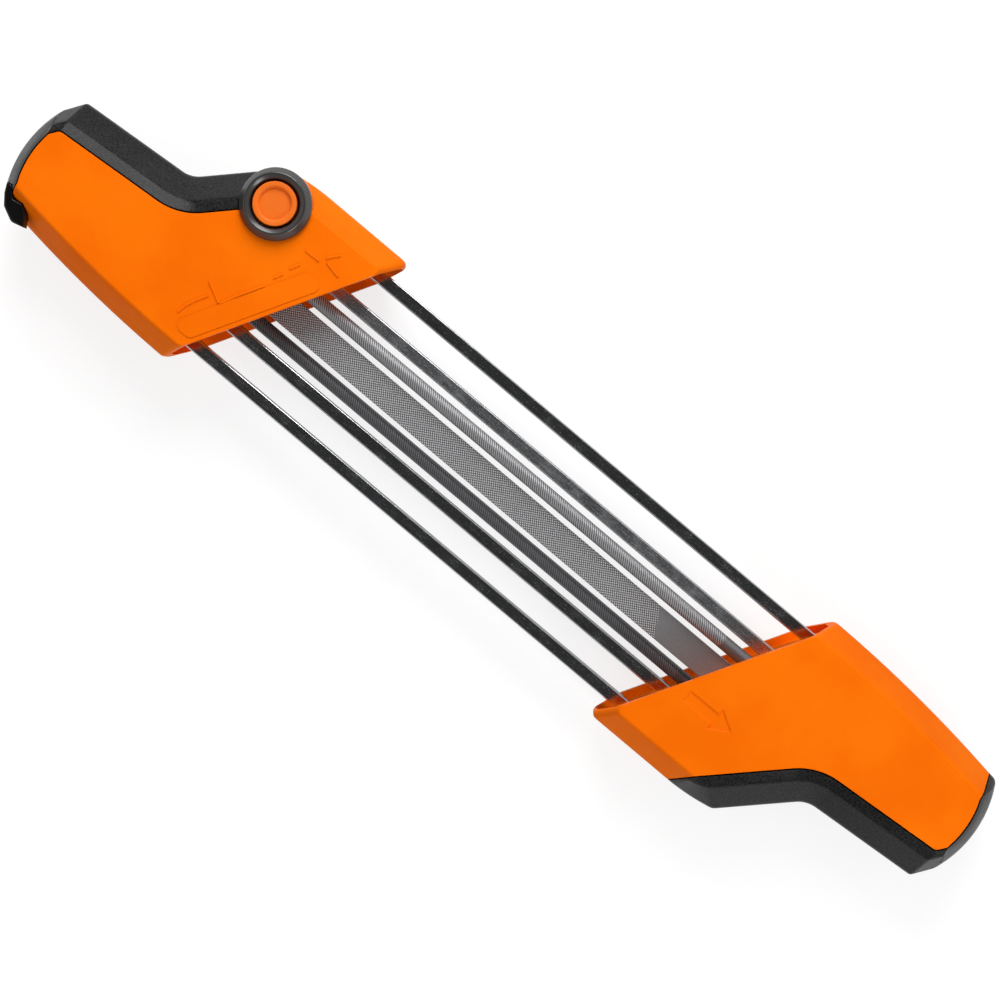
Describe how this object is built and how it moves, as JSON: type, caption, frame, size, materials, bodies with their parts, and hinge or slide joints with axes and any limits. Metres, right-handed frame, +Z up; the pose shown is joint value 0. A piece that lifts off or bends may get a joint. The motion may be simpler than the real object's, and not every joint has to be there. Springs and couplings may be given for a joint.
{
  "type": "chainsaw file guide",
  "caption": "Chainsaw file guide: two offset plastic handles joined by square steel bars, holding round files and a flat file, with a push-button swing cover.",
  "frame": {"origin": "under the middle of the tool, on the surface that it lies on", "axes": "+X along the files from the opening handle to the other one, +Y across the files, +Z up out of the face with the push button"},
  "size_m": [0.3884, 0.0768, 0.036],
  "materials": {
    "orange_plastic": "satin moulded orange plastic",
    "black_plastic": "fine-grained black plastic",
    "grey_plastic": "plain moulded grey plastic",
    "plated_steel": "bright nickel-plated steel",
    "file_steel": "hardened steel with cut teeth",
    "zinc_steel": "zinc-plated steel"
  },
  "bodies": {
    "guide": {"left_base": "orange_plastic", "left_grip": "black_plastic", "pivot_ring": "black_plastic", "pivot_sleeve": "plated_steel", "pivot_screw": "zinc_steel", "button_spring": "zinc_steel", "left_carrier": "grey_plastic", "left_carrier_screw_1": "zinc_steel", "left_carrier_screw_2": "zinc_steel", "left_bar_pin_1": "zinc_steel", "left_bar_pin_2": "zinc_steel", "left_bar_pin_3": "zinc_steel", "left_bar_pin_4": "zinc_steel", "right_top_shell": "orange_plastic", "right_bottom_shell": "orange_plastic", "right_grip": "black_plastic", "right_carrier": "grey_plastic", "right_carrier_screw_1": "zinc_steel", "right_carrier_screw_2": "zinc_steel", "right_shell_screw_1": "zinc_steel", "right_shell_screw_2": "zinc_steel", "right_shell_screw_3": "zinc_steel", "right_bar_pin_1": "zinc_steel", "right_bar_pin_2": "zinc_steel", "right_bar_pin_3": "zinc_steel", "right_bar_pin_4": "zinc_steel", "outer_bar_front": "plated_steel", "inner_bar_front": "plated_steel", "inner_bar_rear": "plated_steel", "outer_bar_rear": "plated_steel", "round_file_front": "file_steel", "round_file_rear": "file_steel", "flat_file": "file_steel"},
    "cover": {"left_cover": "orange_plastic", "cover_tab": "black_plastic"},
    "button": {"release_button": "orange_plastic"}
  },
  "joints": [
    {"name": "cover_swing", "type": "hinge", "parent": "guide", "child": "cover", "pos_m": [-0.1153, 0.0248, 0.0275], "axis": [0, 0, 1], "range_deg": [0, 70]},
    {"name": "button_press", "type": "slide", "parent": "guide", "child": "button", "axis": [0, 0, -1], "range_m": [0, 0.003], "stiffness_N_per_m": 1400, "springref_m": -0.0035, "deforming": ["button_spring"]}
  ]
}
